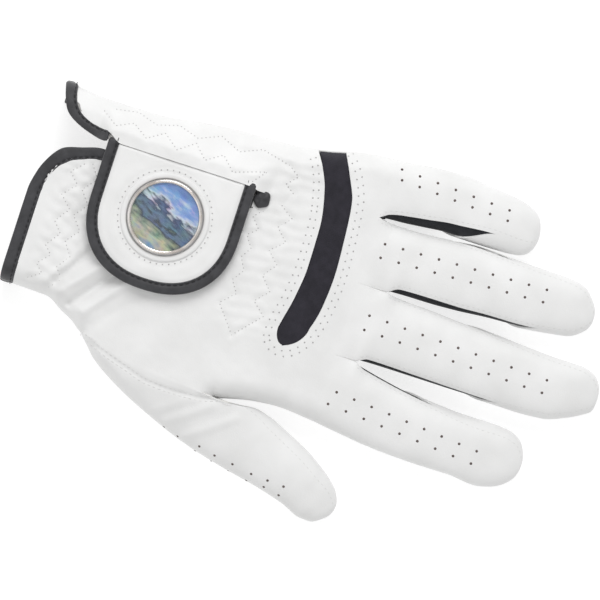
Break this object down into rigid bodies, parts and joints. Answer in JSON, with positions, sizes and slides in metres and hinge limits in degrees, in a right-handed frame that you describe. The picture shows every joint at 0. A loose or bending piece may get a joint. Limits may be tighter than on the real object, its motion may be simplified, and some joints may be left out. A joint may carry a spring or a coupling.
{
  "type": "golf glove",
  "caption": "Left-hand golf glove lying palm down, with separate finger, thumb and closure tab, and a ball marker held on the tab.",
  "frame": {"origin": "bottom centre of the glove as it lies on its palm", "axes": "+Y from the cuff to the fingertips, +X towards the thumb, +Z out of the back of the hand"},
  "size_m": [0.1402, 0.2248, 0.0254],
  "materials": {
    "white_leather": "smooth fine-grained sheepskin, soft satin",
    "stretch_gusset": "black stretch knit, matte",
    "black_binding": "folded black synthetic binding tape, soft sheen",
    "knuckle_elastic_band": "charcoal woven elastic, matte",
    "inner_elastic": "white sewn-in elastic",
    "loop_pile": "white loop pile",
    "hook_nylon": "white nylon hooks",
    "tab_lining": "suede side of the leather",
    "seat_steel": "brushed",
    "magnet": "nickel plated, dull",
    "marker_metal": "polished plated metal",
    "marker_print": "printed disc, abstract bands of blue, grey-green and cream",
    "clear_dome": "clear glossy resin dome"
  },
  "bodies": {
    "hand": {"palm_panel": "white_leather", "ulnar_panel": "white_leather", "knuckle_panel": "white_leather", "knuckle_band": "knuckle_elastic_band", "back_panel": "white_leather", "wrist_panel": "white_leather", "index_side_panel": "white_leather", "wrist_side_panel": "white_leather", "ulnar_side_panel": "white_leather", "knuckle_elastic": "inner_elastic", "ulnar_elastic": "inner_elastic", "wrist_elastic": "inner_elastic", "slit_binding": "black_binding", "ulnar_binding": "black_binding", "palm_binding": "black_binding", "slit_tack": "black_binding", "loop_patch": "loop_pile", "tab_anchor": "white_leather", "little_root_back": "white_leather", "little_root_palm": "white_leather", "ring_root_back": "white_leather", "ring_root_palm": "white_leather", "middle_root_back": "white_leather", "middle_root_palm": "white_leather", "index_root_back": "white_leather", "index_root_palm": "white_leather", "little_ring_gusset": "stretch_gusset", "ring_middle_gusset": "stretch_gusset", "middle_index_gusset": "stretch_gusset"},
    "little_finger": {"little_back": "white_leather", "little_palm": "white_leather", "little_gusset": "stretch_gusset"},
    "ring_finger": {"ring_back": "white_leather", "ring_palm": "white_leather", "ring_gusset_ulnar": "stretch_gusset", "ring_gusset_radial": "stretch_gusset"},
    "middle_finger": {"middle_back": "white_leather", "middle_palm": "white_leather", "middle_gusset_ulnar": "stretch_gusset", "middle_gusset_radial": "stretch_gusset"},
    "index_finger": {"index_back": "white_leather", "index_palm": "white_leather", "index_gusset": "stretch_gusset"},
    "thumb": {"thumb_back": "white_leather", "thumb_palm": "white_leather", "thumb_strip": "white_leather"},
    "closure_tab": {"tab_leather": "white_leather", "tab_lining": "tab_lining", "tab_binding": "black_binding", "hook_patch": "hook_nylon", "marker_seat": "seat_steel", "marker_magnet": "magnet", "marker_ring": "white_leather"},
    "ball_marker": {"marker_cup": "marker_metal", "marker_print": "marker_print", "marker_dome": "clear_dome"}
  },
  "joints": [
    {"name": "little_flex", "type": "hinge", "parent": "hand", "child": "little_finger", "pos_m": [-0.0571, 0.0229, 0], "axis": [-1, 0, 0], "range_deg": [0, 65]},
    {"name": "ring_flex", "type": "hinge", "parent": "hand", "child": "ring_finger", "pos_m": [-0.0327, 0.0339, 0], "axis": [-1, 0, 0], "range_deg": [0, 65]},
    {"name": "middle_flex", "type": "hinge", "parent": "hand", "child": "middle_finger", "pos_m": [-0.0057, 0.0339, 0], "axis": [-1, 0, 0], "range_deg": [0, 65]},
    {"name": "index_flex", "type": "hinge", "parent": "hand", "child": "index_finger", "pos_m": [0.0237, 0.0339, 0], "axis": [-1, 0, 0], "range_deg": [0, 65]},
    {"name": "thumb_flex", "type": "hinge", "parent": "hand", "child": "thumb", "pos_m": [0.03315, -0.0506, 0], "axis": [0.1422, 0.9898, 0], "range_deg": [0, 45]},
    {"name": "tab_open", "type": "hinge", "parent": "hand", "child": "closure_tab", "pos_m": [-0.0411, -0.0606, 0.02245], "axis": [0, -1, 0], "range_deg": [0, 140]},
    {"name": "marker_lift", "type": "slide", "parent": "closure_tab", "child": "ball_marker", "axis": [0, 0, 1], "range_m": [0, 0.02]}
  ]
}
